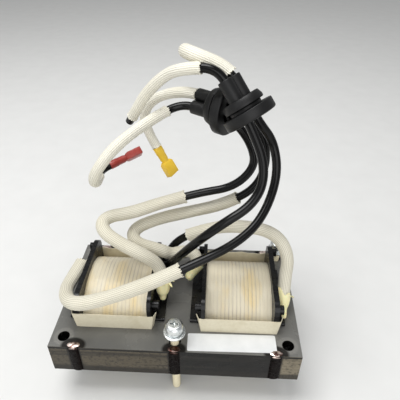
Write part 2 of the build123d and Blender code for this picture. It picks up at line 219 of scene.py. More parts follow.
def shake(offset, seed):
    """Moves each point of the active piece a little, as handwork and heat do."""
    edit_all()
    bpy.ops.transform.vertex_random(offset=offset, seed=seed)
    leave()


def join(pieces, name):
    """One object of several, under a new name."""
    activate(pieces[0])
    for piece in pieces:
        piece.select_set(True)
    bpy.ops.object.join()
    joined = bpy.context.object
    joined.name = name
    return joined


def fit(piece, material, slot, *stands_for):
    """Applies a finished piece's place, gives it its material and fixes it to the part."""
    activate(piece)
    bpy.ops.object.transform_apply(location=True, rotation=True, scale=True)
    piece.data.materials.clear()
    piece.data.materials.append(material)
    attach(piece, "root")
    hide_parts(*stands_for)


# Bare steel that froze from the arc: bright and pinkish on the top edge, black down the face
weld_steel, tree, shader, place = new_material("weld_puddle_steel")
x, y, z = add_node(tree, "SeparateXYZ", {0: place}, slice(3))
tint = add_node(tree, "TexNoise", {"Vector": place, "Scale": 420.0, "Detail": 3.0})
patch = add_node(tree, "MapRange", {0: tint, 1: 0.4, 2: 0.58})
height = add_node(tree, "MapRange", {0: z, 1: core_top - 0.0012, 2: core_top - 0.0002})
run = add_node(tree, "Mix", {0: tint, 6: "#040303", 7: "#170f0d"}, 2, data_type="RGBA")
puddle = add_node(tree, "Mix", {0: patch, 6: "#5e453e", 7: "#efdcd2"}, 2, data_type="RGBA")
# The middle pair ran cold: its top puddle stayed dark, with brown glints
aside = add_node(tree, "Math", {0: x}, operation="ABSOLUTE")
cold = add_node(tree, "MapRange", {0: aside, 1: 0.03, 2: 0.02, 4: 0.85})
puddle = add_node(tree, "Mix", {0: cold, 6: puddle, 7: "#3c211b"}, 2, data_type="RGBA")
colour = add_node(tree, "Mix", {0: height, 6: run, 7: puddle}, 2, data_type="RGBA")
bump = add_node(tree, "Bump", {"Height": tint, "Strength": 0.5, "Distance": 0.0002})
feed(shader, {"Base Color": colour, "Metallic": 1.0, "Roughness": 0.3, "Normal": bump})

ripple_count = 17
ripple_pitch = 0.00115
ripple_size = (0.0031, 0.0010, 0.0011)
ripple_y = 0.0420
ripple_start = 0.0012
puddle_size = (0.0037, 0.0019, 0.0004)
puddle_y = 0.0403
beads = []
for x in (-weld_x, 0.0, weld_x):
    for front in (-1, 1):
        bpy.ops.mesh.primitive_uv_sphere_add(
            segments=20, ring_count=10, radius=1.0,
            location=(x, front * ripple_y, core_bottom + ripple_start), scale=ripple_size,
        )
        run = bpy.context.object
        bpy.ops.object.transform_apply(location=False, rotation=False, scale=True)
        modify(
            run, "ARRAY", count=ripple_count, use_relative_offset=False, use_constant_offset=True,
            constant_offset_displace=(0, 0, ripple_pitch),
        )
        bpy.ops.mesh.primitive_uv_sphere_add(
            segments=28, ring_count=14, radius=1.0,
            location=(x, front * puddle_y, core_top - 0.0001), scale=puddle_size,
        )
        beads += [run, bpy.context.object]
weld_runs = join(beads, "weld_bead_runs")
shake(0.00008, 5)
bpy.ops.object.shade_smooth()
fit(weld_runs, weld_steel, "weld", "weld_beads")

# Gap spacers
# A strip of pressed board fills the magnetic gap between each centre leg and its bar.
# It was cut from sheet, so its edges show the fibres.


def mottled(name, grain, colours, relief, roughness, others=None):
    """A finish whose tone wanders between two colours, with the same grain raised on it.

    The grain is its patches to the metre and its detail, and the relief its strength and depth.
    A pair for the roughness lets the grain vary it.
    """
    material, tree, shader, place = new_material(name)
    noise = add_node(tree, "TexNoise", {"Vector": place, "Scale": grain[0], "Detail": grain[1]})
    colour = add_node(tree, "Mix", {0: noise, 6: colours[0], 7: colours[1]}, 2, data_type="RGBA")
    bump = add_node(tree, "Bump", {"Height": noise, "Strength": relief[0], "Distance": relief[1]})
    if isinstance(roughness, tuple):
        smooth, rough = roughness
        roughness = add_node(tree, "MapRange", {0: noise, 1: 0.3, 2: 0.7, 3: smooth, 4: rough})
    feed(shader, {"Base Color": colour, "Roughness": roughness, "Normal": bump, **(others or {})})
    return material


# Pressed board soaked in varnish: tan, with fibres of 1.4 mm and a dull shine
board = mottled("varnished_pressboard", (700.0, 6.0), ("#8f7a54", "#c0aa80"), (0.3, 0.0001), 0.6)
dress(board, "gap_spacer_left", "gap_spacer_right")

# Bobbins
# A moulded bobbin slides over each centre leg and holds the coil between two flanges.
# It is glass-filled nylon with ledges that rest on the core, stops and corner hooks.

# Black glass-filled nylon from a polished mould: glossy, with a faint orange peel
nylon = mottled(
    "glossy_black_nylon", (350.0, 3.0), ("#050505", "#0d0d0e"), (0.25, 0.0001), (0.22, 0.38),
    {"Specular IOR Level": 0.35},
)
dress(nylon, "bobbin_left", "bobbin_right")

# Windings
# Each coil is wound in layers of enamelled copper wire on its bobbin.
# The turns lie side by side and show only where the tape leaves them open.

# Enamelled copper wire: reddish brown metal under a clear enamel, in turns 1.8 mm apart
turn_width = 0.0018
copper, tree, shader, place = new_material("enamelled_copper")
turns = add_node(
    tree, "TexWave", {"Vector": place, "Scale": lines_apart(turn_width), "Distortion": 0.3}, 1,
    bands_direction="X",
)
colour = add_node(tree, "Mix", {0: turns, 6: "#4b2313", 7: "#a4552f"}, 2, data_type="RGBA")
bump = add_node(tree, "Bump", {"Height": turns, "Strength": 0.8, "Distance": 0.0006})
feed(shader, {"Base Color": colour, "Metallic": 0.9, "Roughness": 0.3, "Coat Weight": 0.5, "Normal": bump})
dress(copper, "winding_left", "winding_right")

# Tape wraps
# Glass-cloth tape is wound over each coil and pulled tight, so the turns below press ridges
# through it. It was soaked in varnish with the rest, which left yellow stains.

ridge_count = 17
low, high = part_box("tape_wrap_right")
ridge_pitch = (high.x - low.x) / ridge_count
coil_middle = (low.x + high.x) / 2
thread_pitch = 0.0009

# Varnished glass cloth: cream, with faint threads, folds and yellow stains
glass_tape, tree, shader, place = new_material("varnished_glass_tape")
x, y, z = add_node(tree, "SeparateXYZ", {0: place}, slice(3))
# Stains run slantwise over the turns, as the varnish ran down while it dried
slant = add_node(
    tree, "Mapping", {"Vector": place, "Rotation": (0.0, 0.0, math.radians(35)), "Scale": (1.0, 0.35, 0.6)},
)
stain = add_node(tree, "TexNoise", {"Vector": slant, "Scale": 95.0, "Detail": 4.0})
stained = add_node(tree, "MapRange", {0: stain, 1: 0.5, 2: 0.7, 4: 0.75})
weave = add_node(
    tree, "TexWave", {"Vector": place, "Scale": lines_apart(thread_pitch), "Distortion": 0.5}, 1,
    bands_direction="X",
)
stretch = add_node(tree, "Mapping", {"Vector": place, "Scale": (1.0, 0.06, 0.06)})
streak = add_node(tree, "TexNoise", {"Vector": stretch, "Scale": 520.0, "Detail": 3.0})
threads = add_node(tree, "MapRange", {0: streak, 1: 0.52, 2: 0.68, 4: 0.4})
# The wire shows through as a grey-pink line between two ridges, mirrored from coil to coil,
# most in a coil's middle and where the tape is pressed down
aside = add_node(tree, "Math", {0: x}, operation="ABSOLUTE")
mirrored = add_node(tree, "CombineXYZ", {0: aside, 1: y, 2: z})
valley = add_node(
    tree, "TexWave",
    {"Vector": mirrored, "Scale": lines_apart(ridge_pitch), "Distortion": 0.5, "Detail Scale": 3.0,
     "Phase Offset": math.pi - math.tau * low.x / ridge_pitch},
    1, bands_direction="X",
)
pressed = add_node(tree, "TexNoise", {"Vector": place, "Scale": 60.0, "Detail": 2.0})
shown = add_node(tree, "MapRange", {0: pressed, 1: 0.36, 2: 0.6, 3: 0.35})
off_middle = add_node(tree, "Math", {0: aside, 1: coil_middle}, operation="SUBTRACT")
off_middle = add_node(tree, "Math", {0: off_middle}, operation="ABSOLUTE")
central = add_node(tree, "MapRange", {0: off_middle, 1: 0.015, 2: 0.009, 3: 0.2})
shown = add_node(tree, "Math", {0: shown, 1: central}, operation="MULTIPLY")
line = add_node(tree, "MapRange", {0: valley, 1: 0.66, 2: 1.0, 4: 0.6})
line = add_node(tree, "Math", {0: line, 1: shown}, operation="MULTIPLY")
cloth = add_node(tree, "Mix", {0: stained, 6: "#d9d0b8", 7: "#dcc48a"}, 2, data_type="RGBA")
for share, colour in ((threads, "#cdc4aa"), (line, "#a2958a")):
    cloth = add_node(tree, "Mix", {0: share, 6: cloth, 7: colour}, 2, data_type="RGBA")
relief = add_node(tree, "Math", {0: weave, 1: streak}, operation="ADD")
fold = add_node(tree, "Bump", {"Height": stain, "Strength": 0.5, "Distance": 0.002})
bump = add_node(tree, "Bump", {"Height": relief, "Strength": 0.35, "Distance": 0.0002, "Normal": fold})
feed(shader, {"Base Color": cloth, "Roughness": 0.5, "Coat Weight": 0.15, "Normal": bump})


def pick(piece, kind, test):
    """Goes into edit mode with the vertices, edges or faces selected that pass a test."""
    bpy.ops.object.mode_set(mode="EDIT")
    bpy.ops.mesh.select_mode(type=kind)
    bpy.ops.mesh.select_all(action="DESELECT")
    leave()
    mesh = piece.data
    for element in {"VERT": mesh.vertices, "EDGE": mesh.edges, "FACE": mesh.polygons}[kind]:
        element.select = test(element)
    bpy.ops.object.mode_set(mode="EDIT")


def smooth(angle):
    """Shades the active piece smooth over edges blunter than an angle."""
    bpy.ops.object.shade_smooth_by_angle(angle=math.radians(angle))


tape_wall = 0.0006
coil_corner = 0.024
ridge_height = 0.0002
half_ridge = ridge_pitch / 2
for side in ("left", "right"):
    low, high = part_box(f"tape_wrap_{side}")
    bpy.ops.mesh.primitive_cube_add(size=1, location=(low + high) / 2, scale=high - low)
    wrap = bpy.context.object
    wrap.name = f"tape_ridges_{side}"
    bpy.ops.object.transform_apply(location=True, rotation=False, scale=True)

    def runs_across(edge):
        a, b = (wrap.data.vertices[i].co for i in edge.vertices)
        return abs(a.x - b.x) > 0.01

    pick(wrap, "EDGE", runs_across)
    bpy.ops.mesh.bevel(offset=coil_corner, segments=14)
    pick(wrap, "FACE", lambda face: abs(face.normal.x) > 0.9)
    bpy.ops.mesh.delete(type="ONLY_FACE")
    pick(wrap, "EDGE", runs_across)
    bpy.ops.mesh.subdivide(number_cuts=2 * ridge_count - 1)
    pick(wrap, "VERT", lambda vertex: round((vertex.co.x - low.x) / half_ridge) % 2 == 1)
    bpy.ops.transform.shrink_fatten(value=ridge_height)
    shake(0.00018, 3)
    modify(wrap, "SUBSURF", levels=1, render_levels=1)
    modify(wrap, "SOLIDIFY", thickness=tape_wall, offset=-1)
    smooth(50)
    fit(wrap, glass_tape, "tape_cream", f"tape_wrap_{side}")

# Slot papers
# A folded paper lines the outer wall of each window and wraps round both flanges where it
# stands clear of the core. It is creped insulating paper, creased by hand at the flanges.

# Insulating paper under varnish: cream, fibrous and slightly waxy
paper, tree, shader, place = new_material("varnished_slot_paper")
fibre = add_node(tree, "TexNoise", {"Vector": place, "Scale": 650.0, "Detail": 6.0})
blotch = add_node(tree, "TexNoise", {"Vector": place, "Scale": 110.0, "Detail": 3.0})
base = add_node(tree, "Mix", {0: fibre, 6: "#d2c9ae", 7: "#e3dcc5"}, 2, data_type="RGBA")
soaked = add_node(tree, "MapRange", {0: blotch, 1: 0.5, 2: 0.75, 4: 0.5})
colour = add_node(tree, "Mix", {0: soaked, 6: base, 7: "#bdb18d"}, 2, data_type="RGBA")
bump = add_node(tree, "Bump", {"Height": fibre, "Strength": 0.3, "Distance": 0.0001})
feed(shader, {"Base Color": colour, "Roughness": 0.55, "Normal": bump})


def face_outward(merge=0):
    """Turns the active piece's faces outward, once points nearer than a distance are merged."""
    edit_all()
    if merge:
        bpy.ops.mesh.remove_doubles(threshold=merge)
    bpy.ops.mesh.normals_make_consistent(inside=False)
    leave()


def draw_out(x, y, z):
    """Extrudes what is selected by a step."""
    bpy.ops.mesh.extrude_region_move(TRANSFORM_OT_translate={"value": (x, y, z)})


paper_wall = 0.0004
paper_line = 0.02775
fold_back = (0.0012, 0.0035)
window_span = (0.0142, 0.0558)
folded_span = (0.0137, 0.0579)
folded_middle = sum(folded_span) / 2
# The sheet in the window reaches a little past the core, and meets the two folded parts there
overlap = 0.0001
wave_out, wave_up = 0.00022, 0.00025
wing_out, wing_start, wing_reach = 0.0014, 0.018, 0.004
for side, sign in (("left", -1), ("right", 1)):
    for row, front in (("front", -1), ("rear", 1)):
        low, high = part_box(f"slot_paper_{row}_{side}")
        sheets = []
        for bottom, top, folded in (
            (core_bottom - overlap, core_top + overlap, False),
            (low.z, core_bottom - overlap, True),
            (core_top + overlap, high.z, True),
        ):
            start, stop = folded_span if folded else window_span
            bpy.ops.mesh.primitive_grid_add(
                x_subdivisions=26, y_subdivisions=6, size=1, rotation=(math.radians(90), 0, 0),
                location=(sign * (start + stop) / 2, front * paper_line, (bottom + top) / 2),
            )
            sheet = bpy.context.object
            sheet.scale = (stop - start, top - bottom, 1)
            bpy.ops.object.transform_apply(location=True, rotation=True, scale=True)
            sheets.append(sheet)
            if not folded:
                continue
            for outer in (-1, 1):
                limit = max(outer * vertex.co.x for vertex in sheet.data.vertices)
                pick(sheet, "VERT", lambda vertex: outer * vertex.co.x > limit - 1e-5)
                for share in (0.35, 0.65):
                    draw_out(outer * fold_back[0] * share, -front * fold_back[1] * share, 0)
                leave()
            # Handling has left the free edge wavy and has spread its wings
            free, rise = (top, 1) if top > core_top else (bottom, -1)
            for vertex in sheet.data.vertices:
                share = 1 - abs(vertex.co.z - free) / (top - bottom)
                wave = math.sin(vertex.co.x * 310 + 1.3 * front + sign)
                wave += 0.5 * math.sin(vertex.co.x * 820 + front)
                vertex.co.y += wave_out * front * share ** 2 * wave
                vertex.co.z += wave_up * share ** 2 * (wave - 1.5) * rise
                aside = vertex.co.x - sign * folded_middle
                spread = max(0, abs(aside) - wing_start) / wing_reach
                vertex.co.x += wing_out * (share - 0.4) * spread * (1 if aside > 0 else -1)
        folded_paper = join(sheets, f"folded_paper_{row}_{side}")
        face_outward(merge=0.00001)
        modify(folded_paper, "SOLIDIFY", thickness=paper_wall, offset=0)
        smooth(25)
        fit(folded_paper, paper, "slot_paper", f"slot_paper_{row}_{side}")

# Label
# A thin film label is stuck on the core in front of the right coil.
# It has rounded corners and is left bare.

# White polyester film with adhesive: even, with a soft shine and a few small bubbles
film = mottled("white_label_film", (180.0, 4.0), ("#cfd1d1", "#e2e3e3"), (0.15, 0.0002), 0.38)

label_corner = 0.0009
label_turn = math.radians(1.0)
low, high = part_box("label")
bpy.ops.mesh.primitive_plane_add(size=1, location=(low + high) / 2, rotation=(0, 0, label_turn))
sticker = bpy.context.object
sticker.scale = (high.x - low.x, high.y - low.y, 1)
sticker.name = "bare_label"
bpy.ops.object.transform_apply(location=False, rotation=False, scale=True)
edit_all()
bpy.ops.mesh.bevel(offset=label_corner, segments=5, affect="VERTICES")
leave()
modify(sticker, "SOLIDIFY", thickness=high.z - low.z, offset=0)
fit(sticker, film, "label_white", "label")

# Insulating tubes
# A tube of varnished glass sleeving lines each used hole and stands up to the washers.
# The screw's shank runs down inside it.

# Varnished glass sleeving: cream, with a braid of 0.8 mm threads faintly showing
glass_tube, tree, shader, place = new_material("varnished_glass_tube")
braid = add_node(
    tree, "TexWave", {"Vector": place, "Scale": lines_apart(0.0008), "Distortion": 1.0}, 1,
    bands_direction="DIAGONAL",
)
colour = add_node(tree, "Mix", {0: braid, 6: "#ddd0ab", 7: "#efe7cb"}, 2, data_type="RGBA")
bump = add_node(tree, "Bump", {"Height": braid, "Strength": 0.3, "Distance": 0.0002})
feed(shader, {"Base Color": colour, "Roughness": 0.45, "Normal": bump})
dress(glass_tube, "insulating_tube_front", "insulating_tube_rear")

# Washers
# Under each screw head lie a split spring washer and a flat washer, both of steel.
# The flat one was punched, the spring one coiled from square wire, and both zinc plated.

# Bright zinc plate: pale bluish metal with fine scuffs
zinc, tree, shader, place = new_material("bright_zinc_plate")
scuff = add_node(tree, "TexNoise", {"Vector": place, "Scale": 1500.0, "Detail": 5.0})
tone = add_node(tree, "TexNoise", {"Vector": place, "Scale": 240.0, "Detail": 2.0})
colour = add_node(tree, "Mix", {0: tone, 6: "#cfd6da", 7: "#f2f3ef"}, 2, data_type="RGBA")
shine = add_node(tree, "MapRange", {0: scuff, 1: 0.3, 2: 0.7, 3: 0.2, 4: 0.4})
bump = add_node(tree, "Bump", {"Height": scuff, "Strength": 0.2, "Distance": 0.0001})
feed(shader, {"Base Color": colour, "Metallic": 1.0, "Roughness": shine, "Normal": bump})


def round_edges(piece, width, segments, angle):
    """Rounds the edges of a piece that are sharper than an angle."""
    activate(piece)
    modify(
        piece, "BEVEL", width=width, segments=segments, limit_method="ANGLE", angle_limit=math.radians(angle),
    )
    smooth(angle)


washer_bore = 0.00215
spring_wire = (0.0022, 0.0017)
spring_radius = 0.00355
for row in ("front", "rear"):
    low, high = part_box(f"flat_washer_{row}")
    washer_radius = (high.x - low.x) / 2
    bpy.ops.mesh.primitive_cylinder_add(
        vertices=64, radius=washer_radius, depth=high.z - low.z, location=(low + high) / 2)
    washer = bpy.context.object
    washer.name = f"punched_washer_{row}"
    pick(washer, "FACE", lambda face: abs(face.normal.z) > 0.9)
    bpy.ops.mesh.inset(thickness=washer_radius - washer_bore)
    bpy.ops.mesh.bridge_edge_loops()
    leave()
    round_edges(washer, 0.00015, 2, 40)
    fit(washer, zinc, "zinc", f"flat_washer_{row}")

    # The spring washer is one turn of square wire whose cut ends stand apart
    low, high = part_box(f"spring_washer_{row}")
    middle = (low + high) / 2
    bpy.ops.mesh.primitive_plane_add(
        size=1, location=(-spring_radius, 0, spring_wire[1] / 2), rotation=(math.radians(90), 0, 0))
    spring = bpy.context.object
    spring.scale = (*spring_wire, 1)
    spring.name = f"split_washer_{row}"
    bpy.ops.object.transform_apply(location=True, rotation=True, scale=True)
    edit_all()
    bpy.ops.mesh.delete(type="ONLY_FACE")
    leave()
    modify(
        spring, "SCREW", angle=math.radians(349), steps=48, render_steps=48,
        screw_offset=high.z - low.z - spring_wire[1], use_merge_vertices=True,
    )
    pick(spring, "EDGE", lambda edge: False)
    bpy.ops.mesh.select_non_manifold()
    bpy.ops.mesh.fill_holes(sides=4)
    face_outward()
    spring.location = (middle.x, middle.y, low.z)
    round_edges(spring, 0.0002, 2, 40)
    fit(spring, zinc, "zinc", f"spring_washer_{row}")

# Screws
# A pan-head machine screw stands in each insulating tube, and its head is driven by a cross.
# It was cold headed and rolled from steel wire, then zinc plated.

head_high = 0.0036
head_round = 0.0021
wing_size = (0.0052, 0.0011, 0.0026)
wing_taper = (0.45, 0.6, 1)
wing_sink = 0.0006
shank_radius = 0.00193
for row in ("front", "rear"):
    low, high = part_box(f"screw_{row}")
    middle = (low + high) / 2
    bpy.ops.mesh.primitive_cylinder_add(
        vertices=64, radius=(high.x - low.x) / 2, depth=head_high,
        location=(middle.x, middle.y, high.z - head_high / 2),
    )
    head = bpy.context.object
    pick(head, "FACE", lambda face: face.normal.z > 0.9)
    bpy.ops.mesh.bevel(offset=head_round, segments=8)
    leave()
    # The cross is two tapered wings, cut out of the head
    for turn in (0, 90):
        bpy.ops.mesh.primitive_cube_add(
            size=1, location=(middle.x, middle.y, high.z - wing_sink),
            rotation=(0, 0, math.radians(turn)), scale=wing_size,
        )
        wing = bpy.context.object
        pick(wing, "FACE", lambda face: face.normal.z < -0.9)
        bpy.ops.transform.resize(value=wing_taper)
        leave()
        activate(head)
        modify(head, "BOOLEAN", operation="DIFFERENCE", object=wing)
        bpy.data.objects.remove(wing)
    shank_high = high.z - head_high - low.z
    bpy.ops.mesh.primitive_cylinder_add(
        vertices=40, radius=shank_radius, depth=shank_high,
        location=(middle.x, middle.y, low.z + shank_high / 2),
    )
    shank = bpy.context.object
    round_edges(shank, 0.0004, 2, 40)
    screw = join([head, shank], f"pan_head_screw_{row}")
    smooth(35)
    fit(screw, zinc, "zinc", f"screw_{row}")

# Grommets
# Two moulded grommets carry the leads in pairs, each through two tubes on one seat.
# They are soft rubber with a groove for the panel's edge.

# Moulded black rubber: near black, satin, with a fine bloom
rubber = mottled(
    "satin_black_rubber", (260.0, 5.0), ("#070707", "#121213"), (0.2, 0.0002), 0.45,
    {"Specular IOR Level": 0.35},
)

# Each grommet's seat, the way its tubes point, and the way from one tube to the other
grommet_places = {
    "upper": ((0.0358, 0.0255, 0.153), (-0.54, 0.323, 0.777), (0.537, 0.844, 0.022)),
    "lower": ((0.0241, 0.0422, 0.1476), (-0.846, 0.533, 0.018), (0.384, 0.585, 0.714)),
}
# The rings of its body from the hollow under the seat to the front of the lip: radius, height
body_rings = (
    (0.0075, 0.0030), (0.0075, -0.0038), (0.0138, -0.0038), (0.01425, -0.0028), (0.01425, 0.0020),
    (0.0090, 0.0020), (0.0090, 0.0040), (0.0111, 0.0040), (0.0111, 0.0058), (0.0100, 0.0087),
)
# The rings of one tube, up its outside and down inside its mouth
tube_rings = ((0.0040, 0.0080), (0.0040, 0.0205), (0.0027, 0.0205), (0.0027, 0.0080))
tube_pitch = 0.0078


def drawn_up(rings, filled, location, facets=64):
    """A round body drawn up ring by ring from a circle, which may be filled."""
    start_radius, start_height = rings[0]
    bpy.ops.mesh.primitive_circle_add(
        vertices=facets, radius=start_radius, fill_type="NOTHING", location=(*location, start_height))
    body = bpy.context.object
    bpy.ops.object.transform_apply(location=True, rotation=False, scale=False)
    pick(body, "EDGE", lambda edge: True)
    if filled:
        bpy.ops.mesh.edge_face_add()
    for (radius, height), (before, level) in zip(rings[1:], rings):
        draw_out(0, 0, height - level)
        grown = radius / before
        bpy.ops.transform.resize(value=(grown, grown, 1), center_override=(*location, height))
    face_outward()
    return body


def stand(piece, at, ahead, beside):
    """Puts a piece in its place, with its z ahead and its x beside."""
    wide = (beside - ahead * ahead.dot(beside)).normalized()
    piece.rotation_euler = Matrix((wide, ahead.cross(wide), ahead)).transposed().to_euler()
    piece.location = at


for level, (seat, ahead, beside) in grommet_places.items():
    parts = [drawn_up(body_rings, True, (0, 0))]
    parts += [drawn_up(tube_rings, False, (side * tube_pitch / 2, 0)) for side in (-1, 1)]
    for part in parts:
        round_edges(part, 0.0005, 3, 30)
    grommet = join(parts, f"moulded_grommet_{level}")
    smooth(30)
    stand(grommet, seat, Vector(ahead).normalized(), Vector(beside))
    fit(grommet, rubber, "grommet_rubber", f"grommet_{level}")

# Lead wires
# Four stranded leads with thick black insulation run from the coils through the grommets.
# They are stiff, so they stand where they were bent by hand.

# Extruded black insulation: glossy, with faint marks from the die
insulation = mottled(
    "glossy_black_insulation", (300.0, 3.0), ("#040404", "#070707"), (0.1, 0.0002), (0.14, 0.24),
    {"Specular IOR Level": 0.26},
)


def linked(name, data):
    """A new object that shows its data in the scene."""
    shown = bpy.data.objects.new(name, data)
    bpy.context.scene.collection.objects.link(shown)
    return shown


wire_diameter = 0.005
routes = {
    "left_outer": [
        (-0.0618, 0.0085, 0.0585), (-0.0640, -0.0045, 0.0578), (-0.0643, -0.0202, 0.061),
        (-0.0535, -0.035, 0.0685), (-0.036, -0.0335, 0.0732), (-0.014, -0.0285, 0.0799),
        (0.012, -0.018, 0.087), (0.032, -0.0075, 0.0915), (0.0465, 0.005, 0.0995),
        (0.055, 0.022, 0.1165), (0.052, 0.0315, 0.1335), (0.04113, 0.02685, 0.14842),
        (0.03187, 0.03239, 0.16175), (0.0247, 0.0367, 0.1721), (0.0055, 0.04, 0.1787),
        (0.0002, 0.052, 0.1772), (0.004, 0.069, 0.1707), (0.0065, 0.0825, 0.1655),
    ],
    "left_inner": [
        (-0.0096, -0.006, 0.0575), (-0.0105, -0.0025, 0.068), (-0.02, -0.0045, 0.078),
        (-0.0315, -0.003, 0.0835), (-0.044, 0.0015, 0.09), (-0.0445, 0.011, 0.0925),
        (-0.029, 0.018, 0.091), (-0.012, 0.026, 0.0935), (0.011, 0.032, 0.0975),
        (0.031, 0.0315, 0.1025), (0.043, 0.0335, 0.116), (0.04, 0.036, 0.1295),
        (0.02852, 0.03619, 0.14469), (0.0133, 0.04578, 0.14501), (-0.00193, 0.05537, 0.14534),
        (-0.018, 0.0425, 0.1405), (-0.0355, 0.022, 0.134), (-0.048, 0.0165, 0.1185),
        (-0.0522, 0.026, 0.106), (-0.054, 0.038, 0.0995), (-0.0548, 0.0488, 0.101),
        (-0.0491, 0.0526, 0.1025),
    ],
    "right_inner": [
        (0.0093, 0.011, 0.0555), (0.01, 0.0127, 0.0607), (0.0066, 0.0142, 0.0656),
        (-0.0005, 0.013, 0.0654), (-0.006, 0.0114, 0.0644), (-0.0125, 0.009, 0.07),
        (-0.028, 0.009, 0.075), (-0.03, 0.018, 0.0785), (-0.016, 0.0255, 0.081),
        (0.004, 0.0305, 0.0835), (0.0245, 0.034, 0.0875), (0.044, 0.0345, 0.099),
        (0.0505, 0.038, 0.116), (0.0465, 0.0405, 0.135), (0.03152, 0.04075, 0.15026),
        (0.01545, 0.05088, 0.1506), (-0.00063, 0.061, 0.15094), (-0.0185, 0.0705, 0.1435),
        (-0.028, 0.075, 0.1325), (-0.0285, 0.0755, 0.1195), (-0.021, 0.0735, 0.106),
    ],
    "right_outer": [
        (0.062, -0.0095, 0.052), (0.063, -0.001, 0.0585), (0.065, 0.006, 0.0725),
        (0.0555, 0.0145, 0.0835), (0.031, 0.0145, 0.087), (0.016, 0.0165, 0.0815),
        (-0.0013, 0.0206, 0.07025), (-0.0095, 0.0196, 0.0585), (-0.0092, 0.0053, 0.0581),
        (0.0039, -0.005, 0.0827), (0.021, -0.012, 0.106), (0.0415, -0.002, 0.1155),
        (0.046, 0.0095, 0.13), (0.03695, 0.02027, 0.14825), (0.02777, 0.02576, 0.16146),
        (0.01858, 0.03126, 0.17467), (0.002, 0.0335, 0.173), (-0.009, 0.0425, 0.167),
        (-0.022, 0.0485, 0.153), (-0.0295, 0.0518, 0.14), (-0.034, 0.0555, 0.1327),
    ],
}
centre_lines = {}
for lead, route in routes.items():
    curve = bpy.data.curves.new(f"insulated_wire_{lead}", "CURVE")
    curve.dimensions = "3D"
    curve.resolution_u = 24
    spline = curve.splines.new("NURBS")
    spline.points.add(len(route) - 1)
    for point, at in zip(spline.points, route):
        point.co = (*at, 1)
    spline.order_u = 3
    spline.use_endpoint_u = True
    wire = linked(curve.name, curve)
    # The line that the sleeves follow is read before the wire gets its thickness
    bare = bpy.data.meshes.new_from_object(wire)
    centre_lines[lead] = [vertex.co.copy() for vertex in bare.vertices]
    curve.bevel_depth = wire_diameter / 2
    curve.bevel_resolution = 6
    curve.use_fill_caps = True
    curve.materials.append(insulation)
    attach(wire, "root")
    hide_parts(f"lead_wire_{lead}")

# Sleeves
# Each lead wears two loose fibreglass sleeves, one at the coil and one at the free end.
# They are knitted tubes cut with a knife, so their ends fray.


def fibreglass(name, soiled, clean):
    """A sleeve's finish before its pattern: itself, its tree, its shader, its map and its colour."""
    material, tree, shader, place = new_material(name)
    soil = add_node(tree, "TexNoise", {"Vector": place, "Scale": 70.0, "Detail": 4.0})
    colour = add_node(tree, "Mix", {0: soil, 6: soiled, 7: clean}, 2, data_type="RGBA")
    return material, tree, shader, add_node(tree, "TexCoord", {}, "UV"), colour


# Knitted fibreglass, the lower sleeves: cream white with rows of small dark stitch holes
stitch_pitch = 0.00102
knit, tree, shader, around, colour = fibreglass("knitted_fibreglass", "#d4ceb9", "#e6e2d3")
columns, rows = (
    add_node(
        tree, "TexWave", {"Vector": around, "Scale": lines_apart(stitch_pitch), "Distortion": 0.25}, 1,
        bands_direction=way,
    )
    for way in "XY"
)
holed = add_node(tree, "MapRange", {0: rows, 3: 0.82, 4: 1.0})
stitch = add_node(tree, "Math", {0: columns, 1: holed}, operation="MULTIPLY")
hole = add_node(tree, "MapRange", {0: stitch, 1: 0.45, 2: 1.0, 4: 0.7})
colour = add_node(tree, "Mix", {0: hole, 6: colour, 7: "#958e78"}, 2, data_type="RGBA")
bump = add_node(tree, "Bump", {"Height": stitch, "Strength": 0.5, "Distance": 0.0003}, invert=True)
feed(shader, {"Base Color": colour, "Roughness": 0.75, "Sheen Weight": 0.1, "Normal": bump})

# Coated fibreglass, the upper sleeves: white with fine even ribs along the tube
rib_pitch = 0.00115
ribbed, tree, shader, around, colour = fibreglass("coated_fibreglass", "#e3dfcd", "#f3f0e5")
rib = add_node(
    tree, "TexWave", {"Vector": around, "Scale": lines_apart(rib_pitch), "Distortion": 0.2}, 1,
    bands_direction="X",
)
shade = add_node(tree, "MapRange", {0: rib, 1: 0.6, 2: 0.95, 4: 0.6})
colour = add_node(tree, "Mix", {0: shade, 6: colour, 7: "#bdb7a3"}, 2, data_type="RGBA")
bump = add_node(tree, "Bump", {"Height": rib, "Strength": 0.6, "Distance": 0.0003}, invert=True)
feed(shader, {"Base Color": colour, "Roughness": 0.6, "Normal": bump})

# Each kind's radius and how flat it lies at its start and end; left_outer's are pressed flat
# where one is folded at the coil and the other is open at the free end
sleeve_shapes = {
    "lower": (0.0039, 1.0, 1.0), "upper": (0.0033, 1.0, 1.0),
    "folded": (0.0039, 0.74, 1.0), "open": (0.0041, 1.0, 0.72),
}
flattened = {"lower": "folded", "upper": "open"}
sleeve_wall = 0.0005
sleeve_step = 0.0012
flat_reach = 0.03
pleat_reach = 0.04
flared = 0.0003
fray = (-0.0011, 0.0003)
facets_round = 40
# Where each sleeve starts and stops, in metres along its lead
sleeve_spans = {
    "left_outer": ((0.0, 0.1072), (0.2504, 0.3114)),
    "left_inner": ((0.0, 0.109), (0.2305, 0.3224)),
    "right_inner": ((0.0, 0.124), (0.2196, 0.2933)),
    "right_outer": ((0.0, 0.0958), (0.2893, 0.3526)),
}
chance = random.Random(11)


